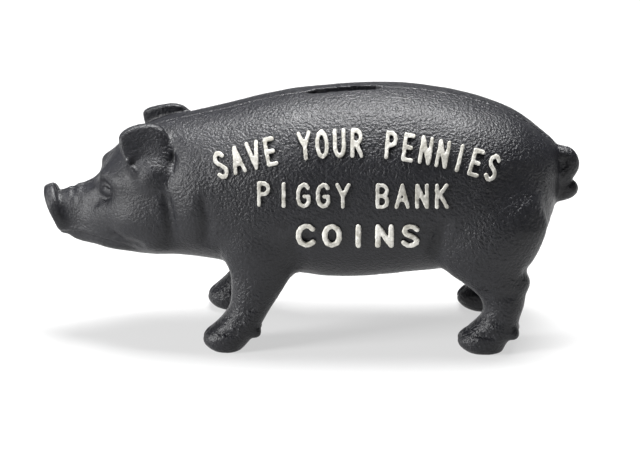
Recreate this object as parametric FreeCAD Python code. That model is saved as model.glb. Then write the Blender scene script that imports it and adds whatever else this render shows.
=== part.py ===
"""Cast-iron money bank in the form of a standing pig.

The bank is two hollow castings, a left and a right half, that meet on the pig's middle
plane. One long machine screw goes in from the right flank, through a boss in the right
half, and into a threaded boss in the left half. Coins drop in through a slot on the back
that the two halves share, and come out when the screw is undone and the halves part.

Millimetres. The pig stands on Z = 0 and looks along -X, +Y is its right side, and the
origin is below the middle of the whole bank.
"""
import FreeCAD, Part
import math
import os

V = FreeCAD.Vector
X_AXIS = V(1, 0, 0)
Y_AXIS = V(0, 1, 0)
Z_AXIS = V(0, 0, 1)

# ---- driving dimensions -------------------------------------------------------------
LENGTH = 213.6          # snout to tail curl
BACK_HEIGHT = 101.2     # floor to the top of the back
BODY_WIDTH = 70.4       # across the barrel
WALL = 4.2              # thickness of the cast shell
STANCE = 48.6           # between the left and right soles, centre to centre

SLOT_LENGTH = 31.6      # coin slot, along the back
SLOT_WIDTH = 5.0        # coin slot, across the parting plane
SLOT_TAPER = 3.6        # length of the point at each end
SLOT_REACH = 8.0        # how far the cutter goes past the wall, downwards
SLOT_X = 0.064 * LENGTH  # middle of the slot, from the middle of the bank

SCREW_X = 0.028 * LENGTH  # clamp screw, from the middle of the bank
SCREW_Z = 0.608 * BACK_HEIGHT
SCREW_D = 5.0           # M5, which has a 0.8 mm pitch
SCREW_HEAD_D = 9.4
SCREW_HEAD_H = 3.1
DRIVER_SLOT_W = 1.2
DRIVER_SLOT_DEPTH = 1.5
SCREW_CHAMFER = 0.6
SCREW_SINK = 4.2        # the washer's seat, below the right flank
THREAD_DEPTH = 8.0      # how far the screw goes into the left boss
WASHER_D = 10.6
WASHER_T = 1.0
WASHER_BORE = 5.4
SHANK_HOLE_D = 5.7      # clearance hole through the right boss
THREAD_CLEARANCE = 0.05  # radial, between the screw and the threaded hole
THREAD_RUNOUT = 3.0     # hole beyond the screw's end
HEAD_CLEARANCE = 0.8    # radial, around the washer in its counterbore
BOSS_WALL = 3.6         # iron round the threaded hole
SEAT_WALL = 2.4         # iron round the counterbore

PIN_D = 3.6             # register pins on the left half
PIN_H = 2.4
PIN_CLEARANCE = 0.2     # radial
SOCKET_SPARE = 0.6      # socket's depth beyond the pin's end
PIN_ROOT = 1.0          # how deep a pin is rooted in its casting

LETTER_RELIEF = 0.9     # how far the lettering stands out of the flank
STROKE = 1.5            # width of a letter's stroke

# The legs, ears and lettering are drawn for these sizes, and scale with them.
LONG = LENGTH / 213.6
TALL = BACK_HEIGHT / 101.2
WIDE = BODY_WIDTH / 70.4

# ---- the body's sections ------------------------------------------------------------
# Share of the length from the snout, then top and bottom as shares of the back's height,
# then the half width as a share of the body's half width, and the lean in degrees.
BODY_SECTIONS = [
    (0.024, 0.553, 0.403, 0.235, 20.0),
    (0.045, 0.568, 0.383, 0.250, 12.0),
    (0.075, 0.594, 0.366, 0.315, 4.0),
    (0.105, 0.643, 0.355, 0.440, 0.0),
    (0.135, 0.738, 0.340, 0.548, 0.0),
    (0.165, 0.794, 0.331, 0.638, 0.0),
    (0.199, 0.834, 0.323, 0.705, 0.0),
    (0.255, 0.870, 0.325, 0.790, 0.0),
    (0.300, 0.891, 0.317, 0.862, 0.0),
    (0.367, 0.925, 0.288, 0.940, 0.0),
    (0.442, 0.964, 0.261, 0.985, 0.0),
    (0.517, 0.987, 0.246, 1.000, 0.0),
    (0.592, 1.000, 0.245, 1.000, 0.0),
    (0.667, 1.000, 0.261, 1.000, 0.0),
    (0.742, 0.982, 0.275, 0.988, 0.0),
    (0.816, 0.945, 0.282, 0.955, 0.0),
    (0.873, 0.898, 0.302, 0.852, 0.0),
    (0.910, 0.849, 0.333, 0.700, 0.0),
    (0.938, 0.805, 0.416, 0.490, 0.0),
    (0.953, 0.779, 0.508, 0.300, 0.0),
    (0.9605, 0.736, 0.594, 0.110, 0.0),
]
SECTION_POWER = 2.25    # 2 is an ellipse, more is squarer
WIDEST_AT = 0.46        # height of the widest point, as a share of the section
SECTION_POINTS = 20

# ---- snout disc ----------------------------------------------------------------------
DISC_D = 20.8
DISC_T = 5.0
DISC_LEAN = 22.0        # the disc's top leads its foot
DISC_Z = 0.482          # centre, as a share of the back's height
DISC_ROUND = 1.6
NOSTRIL_D = 3.4
NOSTRIL_DEPTH = 2.6
NOSTRIL_SPREAD = 3.6    # from the middle plane

# ---- legs: height, front and back of the section from the leg's heel line, inner and
# outer reach from the sole's middle line ---------------------------------------------
FRONT_HEEL_X = -27.0
FRONT_LEG = [
    (0.0, -11.5, -0.4, 6.6, 6.8),
    (1.6, -14.2, 1.6, 8.0, 8.2),
    (5.0, -15.4, 4.2, 8.8, 8.9),
    (9.8, -11.0, 7.4, 8.7, 8.6),
    (14.4, -6.8, 10.2, 8.2, 8.2),
    (19.6, -4.4, 13.5, 8.4, 8.3),
    (25.5, -3.7, 17.0, 9.8, 8.6),
    (32.5, -5.0, 21.2, 12.0, 8.8),
    (40.5, -8.0, 22.8, 15.0, 9.4),
    (48.5, -10.5, 22.6, 17.0, 9.0),
    (56.5, -10.0, 20.0, 17.0, 6.0),
    (64.5, -6.0, 15.0, 14.0, 0.5),
]
REAR_HEEL_X = 76.2
REAR_LEG = [
    (0.0, -12.4, -0.2, 6.6, 6.8),
    (1.6, -16.0, 1.4, 8.0, 8.2),
    (5.0, -17.6, 3.4, 8.8, 8.9),
    (9.4, -13.4, 6.8, 8.5, 8.5),
    (13.6, -9.0, 7.4, 8.0, 8.0),
    (18.8, -7.4, 9.0, 8.0, 8.0),
    (24.5, -10.6, 10.0, 8.6, 8.4),
    (29.5, -17.2, 9.2, 10.5, 9.0),
    (35.5, -25.6, 11.4, 14.0, 9.8),
    (43.5, -29.0, 15.2, 17.0, 10.4),
    (52.5, -28.4, 17.6, 18.0, 10.3),
    (61.5, -24.0, 15.8, 18.0, 8.0),
    (70.5, -16.0, 9.0, 15.0, 1.0),
]
LEG_STEP = 4.5          # height between a leg's computed sections
LEG_POINTS = 14
LEG_POWER = 2.2
CLEFT_W = 1.1           # the split between a hoof's two toes
CLEFT_L = 5.5
CLEFT_TOP = 8.5

# ---- ears ----------------------------------------------------------------------------
EAR_X = -64.0           # middle of the left ear's flap
EAR_Y = 18.6            # outer face of the flap, from the middle plane
EAR_Z = 79.5
EAR_CUP_R = 44.0        # radius the flap is bent to
EAR_T = 4.0
EAR_SPLAY = 28.0        # how far the flap looks up, in degrees
EAR_RIGHT_BACK = 8.0    # the right ear sits this much further back
EAR_OUTLINE = [         # seen from the side, from the flap's middle
    (-11.8, 4.8), (-8.6, 8.2), (-1.0, 10.2), (5.2, 9.2), (8.0, 4.6),
    (7.4, -3.0), (5.0, -9.8), (0.6, -12.6), (-4.4, -10.2), (-8.6, -4.4), (-11.2, 0.6),
]

# ---- tail ----------------------------------------------------------------------------
TAIL_D = 7.0            # the curl
TAIL_TIP_D = 5.8
TAIL_CURL_R = 4.3       # radius of the curl's middle line
TAIL_Z = 0.692          # middle of the curl, as a share of the back's height
TAIL_TIP_Z = 0.561      # lowest point of the tip's middle line, same share

# ---- lettering -----------------------------------------------------------------------
CELL_MIDDLE = 0.28      # middle of a letter's cell, as a share of its height
# Each line: its text, the middle of its foot (x, z), letter height, pitch, width share,
# and the radius its foot is bent to (0 is straight).
LINES = [
    ("SAVE YOUR PENNIES", 18.6, 83.1, 8.4, 6.62, 0.84, 149.0),
    ("PIGGY BANK", 17.2, 63.5, 8.6, 7.75, 0.92, 0.0),
    ("COINS", 19.4, 46.9, 8.6, 10.3, 1.26, 0.0),
]


def snout_x():
    return -LENGTH / 2


def station_x(share):
    return snout_x() + share * LENGTH


# =====================================================================================
# Sections
# =====================================================================================
def super_ellipse(count, power):
    """Unit points round a closed super-ellipse, starting at its foot and going left."""
    points = []
    for i in range(count):
        a = 2 * math.pi * i / count
        s, c = -math.cos(a), -math.sin(a)
        across = math.copysign(abs(c) ** (2 / power), c)
        up = math.copysign(abs(s) ** (2 / power), s)
        points.append((across, up))
    return points


def closed_wire(points):
    """A smooth closed curve; every section shares the same even parameters."""
    curve = Part.BSplineCurve()
    even = [i / len(points) for i in range(len(points) + 1)]
    curve.interpolate(Points=points, PeriodicFlag=True, Parameters=even)
    return Part.Wire([curve.toShape()])


def body_wire(share, top, bottom, half, lean, inset=0.0):
    """One section of the body. inset moves it in from the skin."""
    high = top * BACK_HEIGHT - inset
    low = bottom * BACK_HEIGHT + inset
    wide = half * BODY_WIDTH / 2 - inset
    middle = low + WIDEST_AT * (high - low)
    centre = V(station_x(share), 0, middle)
    turn = FreeCAD.Rotation(Y_AXIS, -lean)
    points = []
    for across, up in super_ellipse(SECTION_POINTS, SECTION_POWER):
        reach = (high - middle) if up > 0 else (middle - low)
        points.append(centre + turn.multVec(V(0, across * wide, up * reach)))
    return closed_wire(points)


def row_at(rows, place):
    """A table's columns at any place in its first column, joined by smooth curves."""
    place = min(max(place, rows[0][0]), rows[-1][0])
    k = max(i for i in range(len(rows) - 1) if rows[i][0] <= place)
    a, b = rows[k], rows[k + 1]
    before = rows[max(k - 1, 0)]
    after = rows[min(k + 2, len(rows) - 1)]
    span = b[0] - a[0]
    t = (place - a[0]) / span
    out = []
    for j in range(1, len(a)):
        start = (b[j] - before[j]) / (b[0] - before[0]) * span
        end = (after[j] - a[j]) / (after[0] - a[0]) * span
        out.append(
            (2 * t**3 - 3 * t**2 + 1) * a[j] + (t**3 - 2 * t**2 + t) * start
            + (-2 * t**3 + 3 * t**2) * b[j] + (t**3 - t**2) * end
        )
    return out


def section_at(share):
    """Top, bottom and half width at any place along the body, as shares."""
    return row_at(BODY_SECTIONS, share)[:3]


def back_z(x):
    """Height of the pig's back over a point on the middle line."""
    return section_at((x - snout_x()) / LENGTH)[0] * BACK_HEIGHT


def flank_y(x, z):
    """Distance of the body's skin from the middle plane."""
    top, bottom, half = section_at((x - snout_x()) / LENGTH)
    high, low = top * BACK_HEIGHT, bottom * BACK_HEIGHT
    middle = low + WIDEST_AT * (high - low)
    reach = (high - middle) if z > middle else (middle - low)
    up = min(abs(z - middle) / reach, 0.999)
    return half * BODY_WIDTH / 2 * (1 - up**SECTION_POWER) ** (1 / SECTION_POWER)


# =====================================================================================
# Outer form
# =====================================================================================
def body(grow=0.0):
    """Head and barrel as one smooth form; grow moves its skin outwards."""
    return Part.makeLoft([body_wire(*row, inset=-grow) for row in BODY_SECTIONS], True)


def cavity():
    """The hollow inside: the body's own sections, one wall further in."""
    first, last = 0.165, 0.925
    rounding = [(0.0, 3.6), (0.012, 1.9), (0.03, 1.25)]
    shares = [(first + d, k) for d, k in rounding]
    shares += [(row[0], 1.0) for row in BODY_SECTIONS if first + 0.05 < row[0] < last - 0.07]
    shares += [(last - d, k) for d, k in reversed(rounding)]
    wires = []
    for share, walls in shares:
        top, bottom, half = section_at(share)
        wires.append(body_wire(share, top, bottom, half, 0.0, inset=WALL * walls))
    return Part.makeLoft(wires, True)


def snout_disc():
    tilt = FreeCAD.Rotation(Y_AXIS, -DISC_LEAN)
    nose = tilt.multVec(V(-1, 0, 0))
    lean = math.radians(DISC_LEAN)
    rim_reach = (DISC_D / 2 - DISC_ROUND) * math.sin(lean) + DISC_ROUND * (1 - math.cos(lean))
    front = V(snout_x() + rim_reach, 0, DISC_Z * BACK_HEIGHT)
    disc = Part.makeCylinder(DISC_D / 2, DISC_T, front, -nose)
    rims = [e for e in disc.Edges if isinstance(e.Curve, Part.Circle)]
    disc = disc.makeFillet(DISC_ROUND, rims)
    for side in (-1, 1):
        place = front + V(0, side * NOSTRIL_SPREAD, 0) + tilt.multVec(V(0, 0, 0.8))
        start = place + nose * 1.0
        disc = disc.cut(Part.makeCylinder(NOSTRIL_D / 2, NOSTRIL_DEPTH + 1.0, start, -nose))
    return disc


def leg(rows, heel_x, side):
    """A leg from inside the body down to the flat sole. side is -1 left, 1 right."""
    middle_y = side * STANCE / 2
    rows = [(z * TALL, front * LONG, back * LONG, inner * WIDE, outer * WIDE)
            for z, front, back, inner, outer in rows]
    foot_rows = [row[0] for row in rows[:3]]
    steps = round((rows[-1][0] - foot_rows[-1]) / LEG_STEP)
    rise = (rows[-1][0] - foot_rows[-1]) / steps
    wires = []
    for z in foot_rows + [foot_rows[-1] + rise * k for k in range(1, steps + 1)]:
        front, back, inner, outer = row_at(rows, z)
        cx, rx = heel_x + (front + back) / 2, (back - front) / 2
        points = []
        for across, along in super_ellipse(LEG_POINTS, LEG_POWER):
            reach = outer if across * side > 0 else inner
            points.append(V(cx + along * rx, middle_y + across * reach, z))
        wires.append(closed_wire(points))
    form = Part.makeLoft(wires, True)
    toe_x = heel_x + min(row[1] for row in rows[:4])
    cleft = Part.makeBox(CLEFT_L, CLEFT_W, CLEFT_TOP + 1.0,
                         V(toe_x - 1.0, middle_y - CLEFT_W / 2, -1.0))
    return form.cut(cleft)


def ear(side):
    """A bent flap: its outline cut out of a thick round shell that opens outwards."""
    cx = EAR_X * LONG + (EAR_RIGHT_BACK if side > 0 else 0.0)
    cz = EAR_Z * TALL
    cup_y = EAR_Y * WIDE
    splay = math.radians(EAR_SPLAY)
    outline = [V(cx + dx, 0, cz + dz) for dx, dz in EAR_OUTLINE]
    face = Part.Face(closed_wire(outline))
    prism = face.extrude(V(0, side * 40.0, 0))
    centre = V(cx + 1.0, side * (cup_y + EAR_CUP_R * math.cos(splay)),
               cz + EAR_CUP_R * math.sin(splay))
    shell = Part.makeSphere(EAR_CUP_R + EAR_T, centre).cut(Part.makeSphere(EAR_CUP_R, centre))
    rim_y = cup_y + 12.0
    keep = Part.makeBox(60, rim_y, 60, V(cx - 30, 0 if side > 0 else -rim_y, cz - 30))
    return shell.common(prism).common(keep)


def bent_bar(start, middle, end, diameter):
    """A round bar along an arc, with a ball on its far end."""
    spine = Part.Wire([Part.Arc(start, middle, end).toShape()])
    edge = spine.Edges[0]
    aim = edge.tangentAt(edge.FirstParameter)
    ring = Part.Wire([Part.Circle(start, aim, diameter / 2).toShape()])
    bar = spine.makePipeShell([ring], True, True)
    return bar.fuse(Part.makeSphere(diameter / 2, end))


def tail():
    """The curl over the rump, and the tip that flicks out below it."""
    r = TAIL_CURL_R
    cx = LENGTH / 2 - TAIL_D / 2 - r
    cz = TAIL_Z * BACK_HEIGHT
    tip_z = TAIL_TIP_Z * BACK_HEIGHT
    start, end = math.radians(118), math.radians(-62)
    curl = bent_bar(
        V(cx + r * math.cos(start), 0, cz + r * math.sin(start)),
        V(cx + r, 0, cz),
        V(cx + r * math.cos(end), 0, cz + r * math.sin(end)),
        TAIL_D,
    )
    tip_x = LENGTH / 2 - TAIL_TIP_D / 2 - 0.3
    tip = bent_bar(V(tip_x - 11, 0, tip_z + 0.6), V(tip_x - 4, 0, tip_z),
                   V(tip_x, 0, tip_z + 2.6), TAIL_TIP_D)
    web = cylinder_y(r * 0.6, -TAIL_D * 0.3, TAIL_D * 0.3, cx, cz)
    return [curl, tip, web]


# =====================================================================================
# Screw, bosses and register pins
# =====================================================================================
def cylinder_y(radius, y0, y1, x, z):
    return Part.makeCylinder(radius, y1 - y0, V(x, y0, z), Y_AXIS)


def washer_seat_y():
    return flank_y(SCREW_X, SCREW_Z) - SCREW_SINK


def counterbore_r():
    return WASHER_D / 2 + HEAD_CLEARANCE


def clamp_screw():
    under_head = washer_seat_y() + WASHER_T
    r = SCREW_D / 2
    shank = cylinder_y(r, -THREAD_DEPTH, under_head, SCREW_X, SCREW_Z)
    point = [e for e in shank.Edges
             if isinstance(e.Curve, Part.Circle) and e.Curve.Center.y < 0]
    shank = shank.makeChamfer(SCREW_CHAMFER, point)
    head = cylinder_y(SCREW_HEAD_D / 2, under_head, under_head + SCREW_HEAD_H, SCREW_X, SCREW_Z)
    crown = [e for e in head.Edges
             if isinstance(e.Curve, Part.Circle) and e.Curve.Center.y > under_head + SCREW_HEAD_H / 2]
    head = head.makeFillet(SCREW_HEAD_H * 0.62, crown)
    slot_foot = under_head + SCREW_HEAD_H - DRIVER_SLOT_DEPTH
    slot = Part.makeBox(SCREW_HEAD_D * 2, SCREW_HEAD_H, DRIVER_SLOT_W,
                        V(SCREW_X - SCREW_HEAD_D, slot_foot, SCREW_Z - DRIVER_SLOT_W / 2))
    return shank.fuse(head).cut(slot).removeSplitter()


def screw_washer():
    y0 = washer_seat_y()
    ring = cylinder_y(WASHER_D / 2, y0, y0 + WASHER_T, SCREW_X, SCREW_Z)
    return ring.cut(cylinder_y(WASHER_BORE / 2, y0 - 1, y0 + WASHER_T + 1, SCREW_X, SCREW_Z))


def pin_places():
    """Register pins: one in the solid of the head, one in the solid of the rump."""
    return [(station_x(0.135), 0.52 * BACK_HEIGHT), (station_x(0.942), 0.65 * BACK_HEIGHT)]


def coin_slot():
    """The slot's cutter: parallel sides that draw in to a point at each end."""
    half_l, half_w = SLOT_LENGTH / 2, SLOT_WIDTH / 2
    shoulder = half_l - SLOT_TAPER
    low = back_z(SLOT_X) - WALL - SLOT_REACH
    outline = [
        (-half_l, 0), (-shoulder, -half_w), (shoulder, -half_w),
        (half_l, 0), (shoulder, half_w), (-shoulder, half_w), (-half_l, 0),
    ]
    wire = Part.makePolygon([V(SLOT_X + x, y, low) for x, y in outline])
    return Part.Face(wire).extrude(V(0, 0, BACK_HEIGHT + 10 - low))


# =====================================================================================
# Castings
# =====================================================================================
def half_space(side):
    length, tall = LENGTH * 2, BACK_HEIGHT * 2
    return Part.makeBox(length, BODY_WIDTH, tall,
                        V(-length / 2, 0 if side > 0 else -BODY_WIDTH, -10))


def outer_half(side, trunk):
    """One side of the pig's trunk with its own legs and ear."""
    limbs = [leg(FRONT_LEG, FRONT_HEEL_X, side), leg(REAR_LEG, REAR_HEEL_X, side), ear(side)]
    return trunk.common(half_space(side)).fuse(limbs)


def left_casting(trunk, hollow):
    form = outer_half(-1, trunk)
    boss_r = SCREW_D / 2 + BOSS_WALL
    boss_end = -(flank_y(SCREW_X, SCREW_Z) - WALL / 2)
    boss = cylinder_y(boss_r, boss_end, 0, SCREW_X, SCREW_Z)
    shell = form.cut(hollow).fuse(boss)
    hole_r = SCREW_D / 2 + THREAD_CLEARANCE
    shell = shell.cut(cylinder_y(hole_r, -THREAD_DEPTH - THREAD_RUNOUT, 1, SCREW_X, SCREW_Z))
    shell = shell.cut(coin_slot())
    for x, z in pin_places():
        shell = shell.fuse(cylinder_y(PIN_D / 2, -PIN_ROOT, PIN_H, x, z))
    return shell


def right_casting(trunk, hollow):
    form = outer_half(1, trunk)
    seat = washer_seat_y()
    boss_r = counterbore_r() + SEAT_WALL
    boss = cylinder_y(boss_r, 0, flank_y(SCREW_X, SCREW_Z) - WALL / 2, SCREW_X, SCREW_Z)
    shell = form.cut(hollow).fuse(boss)
    shell = shell.cut(cylinder_y(SHANK_HOLE_D / 2, -1, BODY_WIDTH, SCREW_X, SCREW_Z))
    shell = shell.cut(cylinder_y(counterbore_r(), seat, BODY_WIDTH, SCREW_X, SCREW_Z))
    shell = shell.cut(coin_slot())
    socket_r, socket_end = PIN_D / 2 + PIN_CLEARANCE, PIN_H + SOCKET_SPARE
    for x, z in pin_places():
        shell = shell.cut(cylinder_y(socket_r, -1, socket_end, x, z))
    return shell


# =====================================================================================
# Lettering
# =====================================================================================
def glyphs():
    """Strokes of each letter in a cell one high and 0.56 wide, as runs of points."""
    left_bow = [(0.28, 1.0), (0.10, 0.88), (0.02, 0.64), (0.02, 0.36), (0.10, 0.12), (0.28, 0.0)]
    right_bow = [(0.56 - u, v) for u, v in left_bow]
    upper_bowl = [(0.04, 1.0), (0.30, 1.0), (0.46, 0.91), (0.50, 0.76), (0.46, 0.61),
                  (0.30, 0.52), (0.04, 0.52)]
    lower_bowl = [(u * 1.04, 0.52 - 0.52 * (v - 0.52) / 0.48) for u, v in upper_bowl]
    stem = [(0.04, 0.0), (0.04, 1.0)]
    return {
        "S": [[(0.50, 0.85), (0.40, 0.97), (0.24, 1.0), (0.09, 0.91), (0.05, 0.74), (0.13, 0.60),
               (0.38, 0.44), (0.50, 0.30), (0.48, 0.12), (0.34, 0.01), (0.17, 0.01),
               (0.03, 0.15)]],
        "A": [[(0.0, 0.0), (0.28, 1.0), (0.56, 0.0)], [(0.12, 0.34), (0.44, 0.34)]],
        "V": [[(0.0, 1.0), (0.28, 0.0), (0.56, 1.0)]],
        "E": [[(0.48, 1.0), (0.05, 1.0), (0.05, 0.0), (0.50, 0.0)], [(0.05, 0.52), (0.42, 0.52)]],
        "Y": [[(0.0, 1.0), (0.28, 0.48), (0.56, 1.0)], [(0.28, 0.48), (0.28, 0.0)]],
        "O": [left_bow, right_bow],
        "U": [[(0.04, 1.0), (0.04, 0.30), (0.12, 0.08), (0.28, 0.0), (0.44, 0.08),
               (0.52, 0.30), (0.52, 1.0)]],
        "R": [stem, upper_bowl, [(0.26, 0.52), (0.54, 0.0)]],
        "P": [stem, upper_bowl],
        "N": [[(0.04, 0.0), (0.04, 1.0), (0.52, 0.0), (0.52, 1.0)]],
        "I": [[(0.28, 0.0), (0.28, 1.0)]],
        "G": [[(0.52, 0.84), (0.42, 0.97)] + left_bow + [(0.44, 0.06), (0.54, 0.20),
              (0.54, 0.46), (0.34, 0.46)]],
        "B": [stem, upper_bowl, lower_bowl],
        "K": [stem, [(0.50, 1.0), (0.06, 0.42)], [(0.19, 0.60), (0.54, 0.0)]],
        "C": [[(0.52, 0.84), (0.42, 0.97)] + left_bow + [(0.43, 0.04), (0.54, 0.16)]],
    }


def stroke_solid(points):
    """A bar of the stroke's width with round ends along a run of points, on the left."""
    r = STROKE / 2
    if len(points) > 2:
        face = Part.makePolygon(points).makeOffset2D(r, 0, True, False, False)
    else:
        a, b = points
        ahead = (b - a).normalize() * r
        side = V(ahead.z, 0, -ahead.x)
        face = Part.Face(Part.Wire([
            Part.LineSegment(a + side, b + side).toShape(),
            Part.Arc(b + side, b + ahead, b - side).toShape(),
            Part.LineSegment(b - side, a - side).toShape(),
            Part.Arc(a - side, a - ahead, a + side).toShape(),
        ]))
    return face.extrude(V(0, -BODY_WIDTH, 0))


def place_on_line(u, v, middle, line):
    """A letter point (along, up) in mm from the letter's cell to its place on the flank."""
    cx, cz, bend = line[1], line[2], line[6]
    foot = V(cx * LONG, 0, cz * TALL)
    if not bend:
        return foot + V(middle + u, 0, v)
    a = middle / bend
    foot += V(bend * math.sin(a), 0, -bend * (1 - math.cos(a)))
    return foot + V(math.cos(a), 0, -math.sin(a)) * u + V(math.sin(a), 0, math.cos(a)) * v


def letter_prisms(line):
    text, height, pitch, wide = line[0], line[3], line[4], line[5]
    shapes = glyphs()
    prisms = []
    for i, letter in enumerate(text):
        if letter == " ":
            continue
        middle = (i - (len(text) - 1) / 2) * pitch * LONG
        solids = []
        for stroke in shapes[letter]:
            run = [place_on_line((u - CELL_MIDDLE) * height * wide, v * height, middle, line)
                   for u, v in stroke]
            solids.append(stroke_solid(run))
        prisms.append(solids[0].fuse(solids[1:]) if len(solids) > 1 else solids[0])
    return prisms


def raised_lettering(whole_body):
    """Three lines of block letters that stand out of the left flank."""
    flank = Part.makeBox(LENGTH, BODY_WIDTH / 2, BACK_HEIGHT,
                         V(-LENGTH / 2, -BODY_WIDTH * 0.75, 0.4 * BACK_HEIGHT))
    sheet = body(LETTER_RELIEF).common(flank).cut(whole_body)
    letters = []
    for line in LINES:
        for prism in letter_prisms(line):
            raised = prism.common(sheet)
            letters.append(largest_solid(raised))
    return Part.makeCompound(letters)


# =====================================================================================
def largest_solid(shape):
    return max(shape.Solids, key=lambda s: s.Volume)


def main():
    os.makedirs("parts", exist_ok=True)
    whole_body = body()
    trunk = whole_body.fuse([snout_disc()] + tail())
    hollow = cavity()
    left = largest_solid(left_casting(trunk, hollow))
    right = largest_solid(right_casting(trunk, hollow))
    nodes = {
        "left_casting": left,
        "right_casting": right,
        "raised_lettering": raised_lettering(whole_body),
        "clamp_screw": clamp_screw(),
        "screw_washer": screw_washer(),
    }
    for name, shape in nodes.items():
        shape.exportStep("parts/%s.step" % name)
        box = shape.BoundBox
        print("%-18s valid %s solids %d volume %.0f  x %.1f %.1f y %.1f %.1f z %.1f %.1f" % (
            name, shape.isValid(), len(shape.Solids), shape.Volume,
            box.XMin, box.XMax, box.YMin, box.YMax, box.ZMin, box.ZMax))


main()
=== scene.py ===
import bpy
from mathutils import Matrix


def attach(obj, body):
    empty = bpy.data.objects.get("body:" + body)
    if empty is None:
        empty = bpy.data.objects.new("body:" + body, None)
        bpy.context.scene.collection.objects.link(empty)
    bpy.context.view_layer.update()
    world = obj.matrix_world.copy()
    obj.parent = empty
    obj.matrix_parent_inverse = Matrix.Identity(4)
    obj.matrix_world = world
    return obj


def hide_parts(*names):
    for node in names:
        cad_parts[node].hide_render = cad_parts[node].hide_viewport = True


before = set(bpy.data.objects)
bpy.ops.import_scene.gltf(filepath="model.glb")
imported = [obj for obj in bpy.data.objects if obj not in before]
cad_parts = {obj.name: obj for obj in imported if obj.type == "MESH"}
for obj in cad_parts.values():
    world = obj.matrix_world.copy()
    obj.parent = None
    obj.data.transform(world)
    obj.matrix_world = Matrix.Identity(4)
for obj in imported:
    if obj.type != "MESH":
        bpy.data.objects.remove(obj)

import copy
import math

import bpy
import numpy as np
import openvdb
from mathutils import Vector
from mathutils.bvhtree import BVHTree

# The pig is sculpted in millimetres as blocks of signed distances, negative inside, that
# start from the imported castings, and is turned into meshes in metres at the end.
MM = 0.001
STEP = 0.5              # spacing of the castings' blocks
LETTER_STEP = 0.22      # spacing of the lettering's block
SPARE_STEPS = 4         # empty steps round a block
BAND = 5.0              # distances are only kept this near the skin
ADAPTIVITY = 0.012      # how readily the castings' flatter faces are merged

LEFT, RIGHT = -1, 1     # the sides of the seam
RIGHT_EAR_BACK = 8.0    # the right ear sits this much further back
SEAM_ROUND = 0.45       # how far the castings' edges are worn round at the seam
PLUG_MARGIN = 0.7       # how far the hollow is cut past the plug that fills it
PIN_ROOT = 1.0          # how deep the register pins are rooted behind the seam

LETTER_RELIEF = 0.9     # how far the letters stand out of the flank
LETTER_BLUR = 0.9       # steps over which the letters' edges are softened
LETTER_SWELL = 0.03     # how much the letters are grown to make up for it
LOW_ROW_TOP = 57.0      # height just over the lowest row of letters
LOW_ROW_SWELL = 0.28    # how much bolder that row is

# Lattice noise: its spacing, and its height where it moves the skin. Patches, waves and
# pebbles are the castings'; daubs and bristles are the brushed paint of the letters.
PATCH_SPACING = 16.0
WAVE_SPACING, WAVE_HEIGHT = 7.0, 0.12
PEBBLE_SPACING, PEBBLE_HEIGHT = 1.15, 0.115
DAUB_SPACING, DAUB_HEIGHT = 1.3, 0.10
BRISTLE_SPACING, BRISTLE_HEIGHT = 0.6, 0.05
WAVE_SEED, PEBBLE_SEED, PATCH_SEED, DAUB_SEED, BRISTLE_SEED = 11, 12, 13, 14, 15

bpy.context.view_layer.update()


# =====================================================================================
# Blocks of distances
# =====================================================================================
class Block:
    """A box of distances to a shape's skin, with the coordinates of its points."""

    def __init__(self, low, high, step):
        self.step = step
        self.first = np.floor(np.array(low) / step).astype(int) - SPARE_STEPS
        last = np.ceil(np.array(high) / step).astype(int) + SPARE_STEPS
        self.shape = tuple(int(n) for n in last - self.first)
        axes = [(self.first[k] + np.arange(self.shape[k])) * step for k in range(3)]
        self.x = axes[0].astype(np.float32).reshape(-1, 1, 1)
        self.y = axes[1].astype(np.float32).reshape(1, -1, 1)
        self.z = axes[2].astype(np.float32).reshape(1, 1, -1)
        self.w = np.abs(self.y)
        self.d = None

    def near(self, low, high):
        """Slices and coordinates of the points between two corners, (x, w, z)."""
        spans = []
        for axis, a, b in zip((self.x, self.w, self.z), low, high):
            flat = axis.ravel()
            inside = np.nonzero((flat >= a) & (flat <= b))[0]
            spans.append(slice(int(inside[0]), int(inside[-1]) + 1))
        coords = (self.x[spans[0]], self.w[:, spans[1]], self.z[:, :, spans[2]])
        return tuple(spans), coords

    def round_about(self, centre, radii, reach):
        """Slices of the points within some radii of a centre, and how far each one is from
        it, in radii, squared."""
        centre, radii = np.array(centre, float), np.array(radii, float)
        spans, coords = self.near(centre - reach * radii, centre + reach * radii)
        squares = [((c - centre[k]) / radii[k]) ** 2 for k, c in enumerate(coords)]
        return spans, squares[0] + squares[1] + squares[2]


def mesh_arrays(obj):
    """An object's points in millimetres, and its triangles."""
    mesh = obj.data
    mesh.calc_loop_triangles()
    points = np.empty(len(mesh.vertices) * 3, np.float32)
    mesh.vertices.foreach_get("co", points)
    triangles = np.empty(len(mesh.loop_triangles) * 3, np.int32)
    mesh.loop_triangles.foreach_get("vertices", triangles)
    return points.reshape(-1, 3) / MM, triangles.reshape(-1, 3).astype(np.uint32)


def block_of(obj, step):
    """The block of distances round one CAD node."""
    points, triangles = mesh_arrays(obj)
    block = Block(points.min(0), points.max(0), step)
    grid = openvdb.FloatGrid.createLevelSetFromPolygons(
        points, triangles, None, openvdb.createLinearTransform(step),
        exBandWidth=BAND / step, inBandWidth=BAND / step)
    block.d = np.empty(block.shape, np.float32)
    grid.copyToArray(block.d, tuple(int(n) for n in block.first))
    return block


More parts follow.
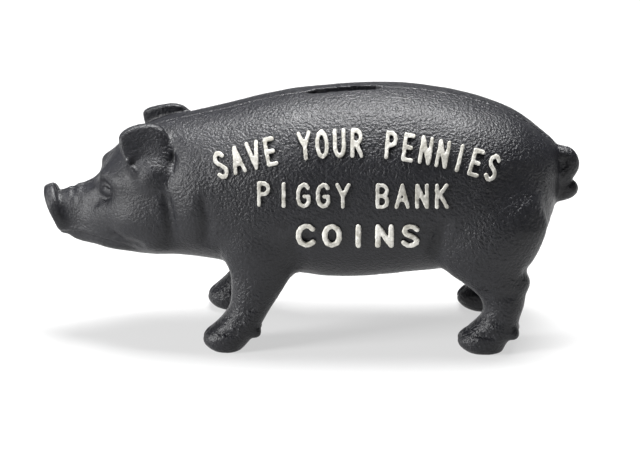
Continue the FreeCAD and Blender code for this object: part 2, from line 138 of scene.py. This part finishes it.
def object_of(block, name, adaptivity):
    """A smooth-shaded object on a block's skin."""
    grid = openvdb.FloatGrid(BAND)
    grid.copyFromArray(np.ascontiguousarray(block.d), tuple(int(n) for n in block.first))
    grid.transform = openvdb.createLinearTransform(block.step)
    points, triangles, quads = grid.convertToPolygons(0.0, adaptivity)
    corners = np.concatenate([triangles[:, ::-1].ravel(), quads[:, ::-1].ravel()])
    sizes = np.concatenate([np.full(len(triangles), 3), np.full(len(quads), 4)])
    mesh = bpy.data.meshes.new(name)
    mesh.vertices.add(len(points))
    mesh.vertices.foreach_set("co", (points * MM).astype(np.float32).ravel())
    mesh.loops.add(len(corners))
    mesh.loops.foreach_set("vertex_index", corners.astype(np.int32))
    mesh.polygons.add(len(sizes))
    starts = np.concatenate([[0], np.cumsum(sizes)[:-1]])
    mesh.polygons.foreach_set("loop_start", starts.astype(np.int32))
    mesh.polygons.foreach_set("use_smooth", np.ones(len(sizes), bool))
    mesh.update(calc_edges=True)
    mesh.validate()
    obj = bpy.data.objects.new(name, mesh)
    bpy.context.scene.collection.objects.link(obj)
    return obj


# =====================================================================================
# Sculpting tools. w is the distance from the middle plane, the same on both sides. Each
# tool stops at its reach, in its own radii, widths or sigmas, where it has nearly died away.
# =====================================================================================
PUSH_REACH = 2.2
CREASE_REACH = 2.5
MELT_REACH = 1.6
BLUR_REACH = 2.5


def push(block, centre, radii, height):
    """Raises a soft mound on the skin, or a hollow if height is negative."""
    spans, q = block.round_about(centre, radii, PUSH_REACH)
    block.d[spans] -= height * np.exp(-q)


def crease(block, line, width, depth):
    """Presses a groove into the skin along a line, or draws a ridge if depth is negative.
    The groove fades in and out at the line's ends."""
    line = [np.array(p, float) for p in line]
    reach = CREASE_REACH * width
    spans, (x, w, z) = block.near(np.min(line, axis=0) - reach, np.max(line, axis=0) + reach)
    nearest = None
    along = None
    total = len(line) - 1
    for k in range(total):
        a, run = line[k], line[k + 1] - line[k]
        t = ((x - a[0]) * run[0] + (w - a[1]) * run[1] + (z - a[2]) * run[2]) / run.dot(run)
        t = np.clip(t, 0, 1)
        gap = (x - a[0] - t * run[0]) ** 2
        gap = gap + (w - a[1] - t * run[1]) ** 2
        gap = gap + (z - a[2] - t * run[2]) ** 2
        place = (k + t) / total
        if nearest is None:
            nearest, along = gap, place
        else:
            along = np.where(gap < nearest, place, along)
            nearest = np.minimum(nearest, gap)
    fade = np.clip(np.minimum(along, 1 - along) * 5, 0, 1) ** 0.7
    block.d[spans] += depth * fade * np.exp(-nearest / width**2)


def blurred(values, sigma):
    """A Gaussian blur; sigma is in points."""
    reach = int(math.ceil(BLUR_REACH * sigma))
    weights = np.exp(-0.5 * (np.arange(-reach, reach + 1) / sigma) ** 2)
    weights = (weights / weights.sum()).astype(np.float32)
    for axis in range(3):
        pads = [(0, 0)] * 3
        pads[axis] = (reach, reach)
        wide = np.pad(values, pads, mode="edge")
        count = values.shape[axis]
        out = np.zeros_like(values)
        for k, weight in enumerate(weights):
            cut = [slice(None)] * 3
            cut[axis] = slice(k, k + count)
            out += weight * wide[tuple(cut)]
        values = out
    return values


def melt(block, centre, radii, sigma):
    """Rounds off the skin inside a soft ellipsoid, as a fillet in a casting."""
    spans, q = block.round_about(centre, radii, MELT_REACH)
    weight = np.clip(1.6 - 1.1 * q, 0, 1)
    weight = weight * weight * (3 - 2 * weight)
    old = block.d[spans]
    block.d[spans] = old + weight * (blurred(old, sigma / block.step) - old)


def lattice_noise(block, spacing, seed):
    """Smooth random values between -1 and 1 on the block's points."""
    random = np.random.RandomState(seed)
    flats = [axis.ravel() / spacing for axis in (block.x, block.y, block.z)]
    firsts = [int(math.floor(f[0])) - 1 for f in flats]
    counts = [int(math.ceil(f[-1])) - first + 3 for f, first in zip(flats, firsts)]
    values = random.uniform(-1, 1, counts).astype(np.float32)
    for axis in range(3):
        place = flats[axis] - firsts[axis]
        k = np.floor(place).astype(int)
        t = (place - k).astype(np.float32)
        t = t * t * (3 - 2 * t)
        size = [1, 1, 1]
        size[axis] = -1
        t = t.reshape(size)
        values = np.take(values, k, axis) * (1 - t) + np.take(values, k + 1, axis) * t
    return values


def meet(a, b, radius):
    """The part inside both a and b, with the edge between them rounded."""
    h = np.clip(0.5 - 0.5 * (b - a) / radius, 0, 1)
    return b + (a - b) * h + radius * h * (1 - h)


# =====================================================================================
# The inside of the trunk, half a wall in from the skin: it tells the hollow from the
# outside. Each station is x, top, bottom and half width.
# =====================================================================================
MID_WALL = [
    (-74.5, 56.5, 54.5, 1.0), (-72.0, 74.5, 39.5, 18.0), (-62.0, 82.7, 34.9, 23.0),
    (-42.0, 88.0, 34.1, 28.4), (-12.0, 95.4, 28.7, 32.4), (20.0, 99.0, 26.9, 33.1),
    (36.0, 99.0, 28.7, 33.1), (52.0, 97.1, 30.0, 32.6), (68.0, 93.3, 30.8, 31.4),
    (80.0, 88.1, 33.0, 27.6), (88.0, 82.5, 38.5, 20.0), (93.0, 64.5, 60.5, 1.0),
]
WIDEST_AT = 0.46        # height of the widest point, as a share of the section
SECTION_POWER = 2.25    # 2 is an ellipse, more is squarer


def mid_wall(block):
    """Roughly how far each point is outside the middle of the trunk's wall."""
    table = np.array(MID_WALL)
    x = block.x.ravel()
    top, bottom, half = (np.interp(x, table[:, 0], table[:, k]) for k in (1, 2, 3))
    middle = (bottom + WIDEST_AT * (top - bottom)).reshape(-1, 1, 1)
    up, down = top.reshape(-1, 1, 1) - middle, middle - bottom.reshape(-1, 1, 1)
    half = half.reshape(-1, 1, 1)
    rise = (block.z - middle).astype(np.float32)
    reach = np.where(rise > 0, up, down)
    power = SECTION_POWER
    f = ((block.w / half) ** power + (np.abs(rise) / reach) ** power) ** (1 / power)
    outside = (x < MID_WALL[0][0]) | (x > MID_WALL[-1][0])
    d = ((f - 1) * np.minimum(half, reach)).astype(np.float32)
    d[outside] = BAND
    return np.clip(d, -BAND, BAND)


# =====================================================================================
# The pig's features, in millimetres: x from the middle, w from the middle plane, z up
# =====================================================================================
def melt_joints(block):
    """The fillets where the legs, the tail and the snout disc grow out of the trunk."""
    melt(block, (-22, 26, 28.5), (24, 16, 15), 2.4)
    melt(block, (-20, 33, 48.5), (24, 8, 22), 2.2)
    melt(block, (-18, 16, 31.5), (22, 12, 12), 2.4)
    melt(block, (72, 26, 30.5), (26, 16, 12), 2.4)
    melt(block, (70, 32, 50.5), (30, 9, 24), 2.4)
    melt(block, (70, 12, 32.5), (24, 12, 12), 2.4)
    melt(block, (82, 27, 64.0), (15, 13, 13), 2.8)
    melt(block, (97, 0, 64.5), (7, 10, 18), 1.0)
    melt(block, (-98, 0, 48.5), (5, 12, 12), 0.9)


def sculpt_head(block, ear_shift):
    # brow, eye and its lids
    push(block, (-83.0, 10.5, 68.0), (6.5, 5.0, 3.6), 2.2)
    push(block, (-75.0, 16.0, 66.5), (6.0, 5.0, 3.4), 1.7)
    push(block, (-82.0, 14.6, 61.0), (5.0, 4.4, 4.6), -2.6)
    push(block, (-81.4, 13.2, 61.8), (2.4, 3.0, 2.2), 2.2)
    crease(block, [(-86.0, 10.6, 61.0), (-81.6, 13.0, 65.0), (-76.6, 15.6, 62.8)], 1.0, 1.4)
    crease(block, [(-85.4, 11.0, 60.0), (-81.0, 13.6, 58.6), (-77.0, 15.8, 60.4)], 1.1, 1.2)
    crease(block, [(-87.0, 10.0, 66.5), (-86.0, 11.0, 60.0), (-84.6, 12.6, 54.5)], 1.8, 1.2)
    # hollow between the eyes and the bridge of the snout
    push(block, (-87.0, 0.0, 65.5), (7.0, 7.0, 5.0), -1.0)
    push(block, (-90.0, 11.0, 54.5), (7.0, 4.0, 5.0), -1.2)
    # cheek and jowl, with the folds behind them
    push(block, (-70.0, 22.0, 50.5), (9.0, 7.0, 7.5), 2.6)
    push(block, (-61.0, 24.0, 44.0), (6.5, 8.0, 10.0), 2.5)
    push(block, (-47.0, 30.0, 56.0), (6.0, 7.0, 13.0), 1.4)
    crease(block, [(-80.0, 17.0, 47.5), (-73.0, 20.0, 42.5), (-65.0, 23.0, 42.0)], 2.4, 1.1)
    crease(block, [(-58.0, 25.0, 68.5), (-55.0, 27.0, 57.5), (-54.0, 27.4, 47.5),
                   (-57.0, 24.0, 37.5)], 2.0, 1.9)
    crease(block, [(-42.0, 28.0, 66.5), (-40.0, 30.5, 55.5), (-41.0, 28.4, 42.5)], 2.4, 1.1)
    # mouth line and lower lip
    crease(block, [(-101.0, 5.0, 41.3), (-94.4, 9.0, 42.1), (-88.8, 11.5, 42.3),
                   (-84.4, 14.0, 41.7), (-77.2, 17.0, 40.5), (-70.4, 19.0, 39.1)], 0.9, 2.4)
    crease(block, [(-99.0, 6.0, 43.4), (-93.4, 9.6, 44.0), (-86.0, 13.4, 43.8),
                   (-77.2, 17.6, 42.6), (-71.0, 19.6, 41.2)], 1.2, -0.7)
    push(block, (-92.0, 7.0, 38.5), (9.0, 5.0, 2.4), 0.8)
    push(block, (-80.0, 14.0, 37.6), (8.0, 5.0, 2.6), 0.9)
    push(block, (-71.0, 18.6, 38.4), (2.4, 3.0, 2.2), -1.3)
    # wrinkles over the snout
    for k, x in enumerate((-98.2, -94.8, -90.6)):
        crease(block, [(x + 0.8, 8.8, 54.0), (x + 0.2, 6.4, 57.2), (x, 3.0, 58.8),
                       (x, -3.0, 58.8)], 1.0, 0.8 - 0.12 * k)
    # nostril rims
    push(block, (-101.0, 9.0, 49.0), (3.0, 3.0, 5.0), -0.5)
    # ear: a rounded leathery face, its foot run into the cheek, and the recess behind it
    x = ear_shift
    melt(block, (-64.0 + x, 21.0, 80.0), (15, 12, 15), 1.1)
    melt(block, (-63.0 + x, 21.0, 70.5), (10, 10, 9), 2.6)
    push(block, (-66.5 + x, 23.0, 82.0), (5.5, 5.0, 6.0), -0.7)
    crease(block, [(-75.0 + x, 20.0, 85.5), (-72.5 + x, 22.0, 78.0), (-68.0 + x, 22.0, 70.5)],
           1.3, -0.9)
    crease(block, [(-74.0 + x, 24.0, 87.0), (-66.0 + x, 25.5, 90.0), (-58.0 + x, 25.0, 88.0)],
           1.4, -0.7)
    push(block, (-62.0 + x, 24.0, 75.0), (5.0, 5.0, 5.0), 0.9)
    push(block, (-54.0 + x, 19.0, 76.0), (3.2, 6.0, 9.0), -1.7)


def sculpt_trunk(block):
    # shoulder and elbow
    push(block, (-22.0, 33.0, 50.5), (14.0, 6.0, 14.0), 1.2)
    crease(block, [(-6.0, 33.0, 50.5), (-5.0, 32.0, 40.5), (-7.0, 30.0, 32.5)], 3.0, 1.2)
    # thigh, the fold of the flank and the rump
    push(block, (72.0, 33.0, 50.5), (14.0, 6.0, 14.0), 1.2)
    crease(block, [(54.0, 34.0, 58.5), (50.0, 33.5, 46.5), (50.0, 31.0, 36.5),
                   (54.0, 27.0, 29.5)], 2.6, 1.6)
    push(block, (45.0, 33.0, 42.0), (5.0, 6.0, 10.0), 0.9)
    crease(block, [(94.0, 3.0, 55.5), (93.0, 3.0, 45.5), (88.0, 3.0, 37.5)], 2.0, 1.2)
    push(block, (-4.0, 0.0, 24.5), (40.0, 5.0, 3.0), 0.5)
    # the tail's curl runs on into its tip
    push(block, (101.0, 0.0, 61.6), (3.0, 3.4, 3.4), 2.6)
    push(block, (98.5, 0.0, 66.0), (3.2, 3.4, 5.0), 1.6)


def sculpt_legs(block):
    # knees and hocks
    push(block, (-28.0, 24.0, 25.0), (4.0, 7.0, 5.0), 0.9)
    push(block, (86.0, 24.0, 28.2), (3.6, 7.0, 3.4), 2.0)
    crease(block, [(84.0, 17.0, 34.5), (88.0, 24.0, 33.5), (84.0, 31.0, 34.5)], 2.2, 0.9)
    crease(block, [(66.0, 31.0, 27.5), (73.0, 33.5, 24.5), (82.0, 31.5, 25.0)], 1.6, 0.9)
    crease(block, [(-34.0, 31.0, 20.5), (-28.0, 33.5, 18.5), (-20.0, 31.5, 19.5)], 1.5, 0.7)
    # dewclaws on the heels
    for x in (-20.6, 81.6):
        push(block, (x, 20.2, 7.6), (2.2, 2.4, 2.2), 3.2)
        push(block, (x, 29.0, 7.6), (2.2, 2.4, 2.2), 3.2)
    for x in (-33.0, 69.0):
        # the crown of the hoof, and the cleft between the toes
        crease(block, [(x - 8.5, 24.3, 9.8), (x - 5.0, 32.0, 9.4), (x + 5.0, 33.0, 8.0)], 0.9, 1.5)
        crease(block, [(x - 8.5, 24.3, 9.8), (x - 5.0, 16.5, 9.4), (x + 5.0, 15.6, 8.0)], 0.9, 1.5)
        crease(block, [(x - 11.0, 24.3, 1.0), (x - 10.5, 24.3, 5.0), (x - 6.0, 24.3, 11.5)],
               1.1, 1.6)
        # folds at the pastern
        crease(block, [(x - 4.0, 31.0, 14.6), (x + 2.0, 33.0, 13.6), (x + 8.0, 31.0, 14.0)],
               1.1, 0.7)


def casting(node, name, side, ear_shift):
    """One half of the pig: its CAD casting, with fillets, features and a worn seam edge."""
    block = block_of(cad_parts[node], STEP)
    cad = block.d.copy()
    inner = mid_wall(block)
    block.d = np.minimum(cad, inner)
    # the far side of the seam mirrors the near side, so the fillets don't round it off
    seam = (side * block.y).astype(np.float32)
    whole = extended(block, side)
    melt_joints(whole)
    sculpt_head(whole, ear_shift)
    sculpt_trunk(whole)
    sculpt_legs(whole)
    pebble(whole)
    skin = whole.d
    # flat soles and the flat seam
    skin = np.maximum(skin, -block.z)
    skin = meet(skin, -seam, SEAM_ROUND)
    # the hollow reaches a little past the plug, so that no film of it stays in the slot
    hollow = np.maximum(inner - PLUG_MARGIN, -cad)
    block.d = np.maximum(skin, -hollow).astype(np.float32)
    register(block, cad, side)
    return object_of(block, name, ADAPTIVITY)


def pebble(block):
    """The uneven, pebbled skin of a sand casting: rougher in patches, smoother on the head."""
    patches = np.clip(0.70 + 0.50 * lattice_noise(block, PATCH_SPACING, PATCH_SEED), 0.3, 1.0)
    behind_head = np.clip((block.x + 74.0) / 24.0, 0.30, 1.0)
    block.d += WAVE_HEIGHT * lattice_noise(block, WAVE_SPACING, WAVE_SEED)
    pebbles = lattice_noise(block, PEBBLE_SPACING, PEBBLE_SEED)
    block.d += PEBBLE_HEIGHT * patches * behind_head * pebbles


def extended(block, side):
    """The block with the far side of the seam filled by a mirror image of the near side."""
    whole = copy.copy(block)
    d = block.d.copy()
    y = block.y.ravel()
    zero = int(np.argmin(np.abs(y)))
    if side == LEFT:
        count = len(y) - 1 - zero
        for k in range(1, count + 1):
            d[:, zero + k] = d[:, zero - k]
        d[:, zero] = d[:, zero - 1]
    else:
        for k in range(1, zero + 1):
            d[:, zero - k] = d[:, zero + k]
        d[:, zero] = d[:, zero + 1]
    whole.d = d
    return whole


def register(block, cad, side):
    """Puts back what stands past the seam, the left half's two pins, and roots them."""
    if side == RIGHT:
        return
    y = block.y.ravel()
    past = y > 0
    block.d[:, past] = cad[:, past]
    section = cad[:, int(np.argmin(np.abs(y - PIN_ROOT)))]
    for k in np.nonzero((y >= -PIN_ROOT) & (y <= 0))[0]:
        block.d[:, k] = np.minimum(block.d[:, k], section)


# =====================================================================================
# Materials
# =====================================================================================
class Nodes:
    """Short calls for building one material's node tree."""

    def __init__(self, name):
        self.material = bpy.data.materials.new(name)
        self.material.use_nodes = True
        self.tree = self.material.node_tree
        self.shader = self.tree.nodes["Principled BSDF"]

    def add(self, kind, settings=None, **inputs):
        node = self.tree.nodes.new(kind)
        for key, value in (settings or {}).items():
            setattr(node, key, value)
        for key, value in inputs.items():
            socket = node.inputs[key.replace("_", " ")]
            if isinstance(value, bpy.types.NodeSocket):
                self.tree.links.new(value, socket)
            else:
                socket.default_value = value
        return node

    def link(self, output, node, name):
        self.tree.links.new(output, node.inputs[name])

    def math(self, operation, *values, clamp=False):
        node = self.tree.nodes.new("ShaderNodeMath")
        node.operation = operation
        node.use_clamp = clamp
        for socket, value in zip(node.inputs, values):
            if isinstance(value, bpy.types.NodeSocket):
                self.tree.links.new(value, socket)
            else:
                socket.default_value = value
        return node.outputs[0]

    def ramp(self, value, stops):
        node = self.add("ShaderNodeValToRGB", None, Fac=value)
        elements = node.color_ramp.elements
        while len(elements) < len(stops):
            elements.new(0.5)
        for element, (place, colour) in zip(elements, stops):
            element.position = place
            element.color = (*colour, 1.0)
        return node.outputs["Color"]


def casting_material():
    """Satin black enamel over the pebbled skin of an iron casting."""
    n = Nodes("black_casting")
    place = n.add("ShaderNodeTexCoord").outputs["Object"]
    broad = n.add("ShaderNodeTexNoise", None, Vector=place, Scale=26.0, Detail=3.0).outputs["Fac"]
    lumps = n.add("ShaderNodeTexNoise", None, Vector=place, Scale=900.0, Detail=2.0,
                  Roughness=0.5).outputs["Fac"]
    grain = n.add("ShaderNodeTexNoise", None, Vector=place, Scale=1300.0, Detail=3.0,
                  Roughness=0.6).outputs["Fac"]
    colour = n.ramp(lumps, [(0.30, (0.0045, 0.0046, 0.0062)), (0.72, (0.0115, 0.0118, 0.0148))])
    n.link(colour, n.shader, "Base Color")
    rough = n.math("MULTIPLY_ADD", grain, 0.26, 0.25)
    # the skin is rougher in patches, and both smoother and duller on the head
    patch = n.math("MULTIPLY_ADD", broad, 2.2, -0.40, clamp=True)
    along = n.add("ShaderNodeSeparateXYZ", None, Vector=place).outputs["X"]
    behind_head = n.add("ShaderNodeMapRange", {"interpolation_type": "SMOOTHSTEP"}, Value=along,
                        From_Min=-0.075, From_Max=-0.040, To_Min=0.32, To_Max=1.0)
    on_head = n.math("SUBTRACT", 1.0, behind_head.outputs["Result"])
    n.link(n.math("ADD", rough, n.math("MULTIPLY", on_head, 0.14)), n.shader, "Roughness")
    patch = n.math("MULTIPLY", patch, behind_head.outputs["Result"])
    height = n.math("MULTIPLY", lumps, patch)
    height = n.math("ADD", height, n.math("MULTIPLY", grain, 0.34))
    bump = n.add("ShaderNodeBump", None, Strength=1.0, Distance=0.00075, Height=height)
    n.link(bump.outputs["Normal"], n.shader, "Normal")
    n.shader.inputs["Specular IOR Level"].default_value = 0.36
    return n.material


def lettering_material():
    """Off-white brushed paint on the letters' faces, thin and worn towards their edges."""
    n = Nodes("white_lettering")
    place = n.add("ShaderNodeTexCoord").outputs["Object"]
    relief = n.add("ShaderNodeAttribute", {"attribute_name": "relief"}).outputs["Fac"]
    wander = n.add("ShaderNodeTexNoise", None, Vector=place, Scale=700.0, Detail=4.0,
                   Roughness=0.65).outputs["Fac"]
    edge = n.math("ADD", relief, n.math("MULTIPLY", n.math("SUBTRACT", wander, 0.5), 1.1))
    paint = n.ramp(edge, [(0.42, (0.02, 0.02, 0.021)), (0.58, (0.34, 0.33, 0.31)),
                          (0.80, (0.53, 0.52, 0.485))])
    stain = n.add("ShaderNodeTexNoise", None, Vector=place, Scale=260.0, Detail=5.0,
                  Roughness=0.7).outputs["Fac"]
    tint = n.ramp(stain, [(0.36, (0.50, 0.49, 0.455)), (0.62, (1.0, 1.0, 1.0))])
    # a colour mix's factor is its input 0, and its two colours are 6 and 7
    mix = n.add("ShaderNodeMix", {"data_type": "RGBA", "blend_type": "MULTIPLY"})
    mix.inputs[0].default_value = 1.0
    n.tree.links.new(paint, mix.inputs[6])
    n.tree.links.new(tint, mix.inputs[7])
    # the lower rows get less of the overhead light, so painted light makes their paint paler and
    # painted shade makes the upper rows' darker, to even out the lettering's tone
    height = n.add("ShaderNodeSeparateXYZ", None, Vector=place).outputs["Z"]
    # painted light and shade by height: paler paint low down, darker paint higher up
    painted_light_and_shade_by_height = n.add("ShaderNodeMapRange", None, Value=height, From_Min=0.056, From_Max=0.078,
                    To_Min=1.28, To_Max=0.78)
    tone = n.add("ShaderNodeVectorMath", {"operation": "SCALE"}, Vector=mix.outputs[2],
                 Scale=painted_light_and_shade_by_height.outputs["Result"])
    n.link(tone.outputs["Vector"], n.shader, "Base Color")
    bump = n.add("ShaderNodeBump", None, Strength=0.8, Distance=0.0004, Height=wander)
    n.link(bump.outputs["Normal"], n.shader, "Normal")
    rough = n.math("MULTIPLY_ADD", wander, 0.3, 0.40)
    n.link(rough, n.shader, "Roughness")
    return n.material


def steel_material():
    """Dull plated steel with fine turning marks."""
    n = Nodes("screw_steel")
    place = n.add("ShaderNodeTexCoord").outputs["Object"]
    wear = n.add("ShaderNodeTexNoise", None, Vector=place, Scale=900.0, Detail=4.0).outputs["Fac"]
    colour = n.ramp(wear, [(0.30, (0.22, 0.21, 0.20)), (0.75, (0.42, 0.41, 0.39))])
    n.link(colour, n.shader, "Base Color")
    rough = n.math("MULTIPLY_ADD", wear, 0.25, 0.22)
    n.link(rough, n.shader, "Roughness")
    n.shader.inputs["Metallic"].default_value = 1.0
    return n.material


def floor_material():
    n = Nodes("pale_floor")
    n.shader.inputs["Base Color"].default_value = (0.20, 0.20, 0.20, 1.0)
    n.shader.inputs["Emission Color"].default_value = (1.0, 1.0, 1.0, 1.0)
    n.shader.inputs["Emission Strength"].default_value = 0.58
    n.shader.inputs["Roughness"].default_value = 0.6
    n.shader.inputs["Specular IOR Level"].default_value = 0.2
    return n.material


def dress(obj, material, slot, body, *nodes):
    obj.data.materials.clear()
    obj.data.materials.append(material)
    if nodes:
        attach(obj, body)
        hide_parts(*nodes)


# =====================================================================================
# Pieces
# =====================================================================================
def lettering():
    """The raised letters, their edges softened as in a casting."""
    block = block_of(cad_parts["raised_lettering"], LETTER_STEP)
    block.d = blurred(block.d, LETTER_BLUR) - LETTER_SWELL
    # the lowest row is painted the boldest
    low_row = np.clip((LOW_ROW_TOP - block.z) / 3.0, 0, 1).astype(np.float32)
    block.d -= LOW_ROW_SWELL * low_row
    daubs = lattice_noise(block, DAUB_SPACING, DAUB_SEED)
    block.d += (DAUB_HEIGHT * daubs).astype(np.float32)
    bristles = lattice_noise(block, BRISTLE_SPACING, BRISTLE_SEED)
    block.d += (BRISTLE_HEIGHT * bristles).astype(np.float32)
    return object_of(block, "raised_lettering_piece", 0.0)


def relief_of(letters, body):
    """Stores how far each point of the letters stands out of the flank, 0 to 1."""
    tree = BVHTree.FromObject(body, bpy.context.evaluated_depsgraph_get())
    mesh = letters.data
    values = np.zeros(len(mesh.vertices), np.float32)
    for k, vertex in enumerate(mesh.vertices):
        gap = tree.find_nearest(vertex.co)[3]
        values[k] = gap / (LETTER_RELIEF * MM)
    mesh.attributes.new("relief", "FLOAT", "POINT").data.foreach_set("value", values)


black = casting_material()
white = lettering_material()
steel = steel_material()

left = casting("left_casting", "left_half_skin", LEFT, 0.0)
dress(left, black, "black_casting", "left_half", "left_casting")
right = casting("right_casting", "right_half_skin", RIGHT, RIGHT_EAR_BACK)
dress(right, black, "black_casting", "right_half", "right_casting")
letters = lettering()
bpy.context.view_layer.update()
relief_of(letters, left)
dress(letters, white, "white_lettering", "left_half", "raised_lettering")
for node in ("clamp_screw", "screw_washer"):
    dress(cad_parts[node], steel, "screw_steel", None)

# =====================================================================================
# Stage, light and camera
# =====================================================================================
FLOOR = 6.0             # metres from the middle to the floor's edge
floor_mesh = bpy.data.meshes.new("floor")
floor_mesh.from_pydata(
    [(-FLOOR, -FLOOR, 0), (FLOOR, -FLOOR, 0), (FLOOR, FLOOR, 0), (-FLOOR, FLOOR, 0)],
    [], [(0, 1, 2, 3)])
floor = bpy.data.objects.new("floor", floor_mesh)
bpy.context.scene.collection.objects.link(floor)
floor_mesh.materials.append(floor_material())

world = bpy.data.worlds.new("studio")
bpy.context.scene.world = world
world.use_nodes = True
world.node_tree.nodes["Background"].inputs["Color"].default_value = (0.95, 0.97, 1.0, 1.0)
world.node_tree.nodes["Background"].inputs["Strength"].default_value = 0.05
bpy.context.scene.view_settings.view_transform = "Standard"


def soft_light(name, place, aim, size, power):
    data = bpy.data.lights.new(name, "AREA")
    data.shape = "RECTANGLE"
    data.size, data.size_y = size
    data.energy = power
    lamp = bpy.data.objects.new(name, data)
    bpy.context.scene.collection.objects.link(lamp)
    lamp.location = place
    lamp.rotation_euler = (Vector(aim) - Vector(place)).to_track_quat("-Z", "Y").to_euler()


soft_light("overhead", (0.06, 0.20, 1.00), (0.0, 0.02, 0.0), (0.7, 0.48), 37.0)
soft_light("left_front", (-1.45, -0.65, 0.65), (0.0, 0.0, 0.05), (0.5, 0.6), 50.0)

DISTANCE = 2.0
AZIMUTH = math.radians(1.2)
ELEVATION = math.radians(19.5)
AIM = Vector((3.6, 0.0, 43.2)) * MM
FRAME_WIDTH = 256.0 * MM
camera_data = bpy.data.cameras.new("camera")
camera_data.sensor_width = 36.0
camera_data.lens = camera_data.sensor_width * DISTANCE / FRAME_WIDTH
camera = bpy.data.objects.new("camera", camera_data)
bpy.context.scene.collection.objects.link(camera)
direction = Vector((math.sin(AZIMUTH) * math.cos(ELEVATION),
                    -math.cos(AZIMUTH) * math.cos(ELEVATION), math.sin(ELEVATION)))
camera.location = AIM + DISTANCE * direction
camera.rotation_euler = (-direction).to_track_quat("-Z", "Y").to_euler()
bpy.context.scene.camera = camera
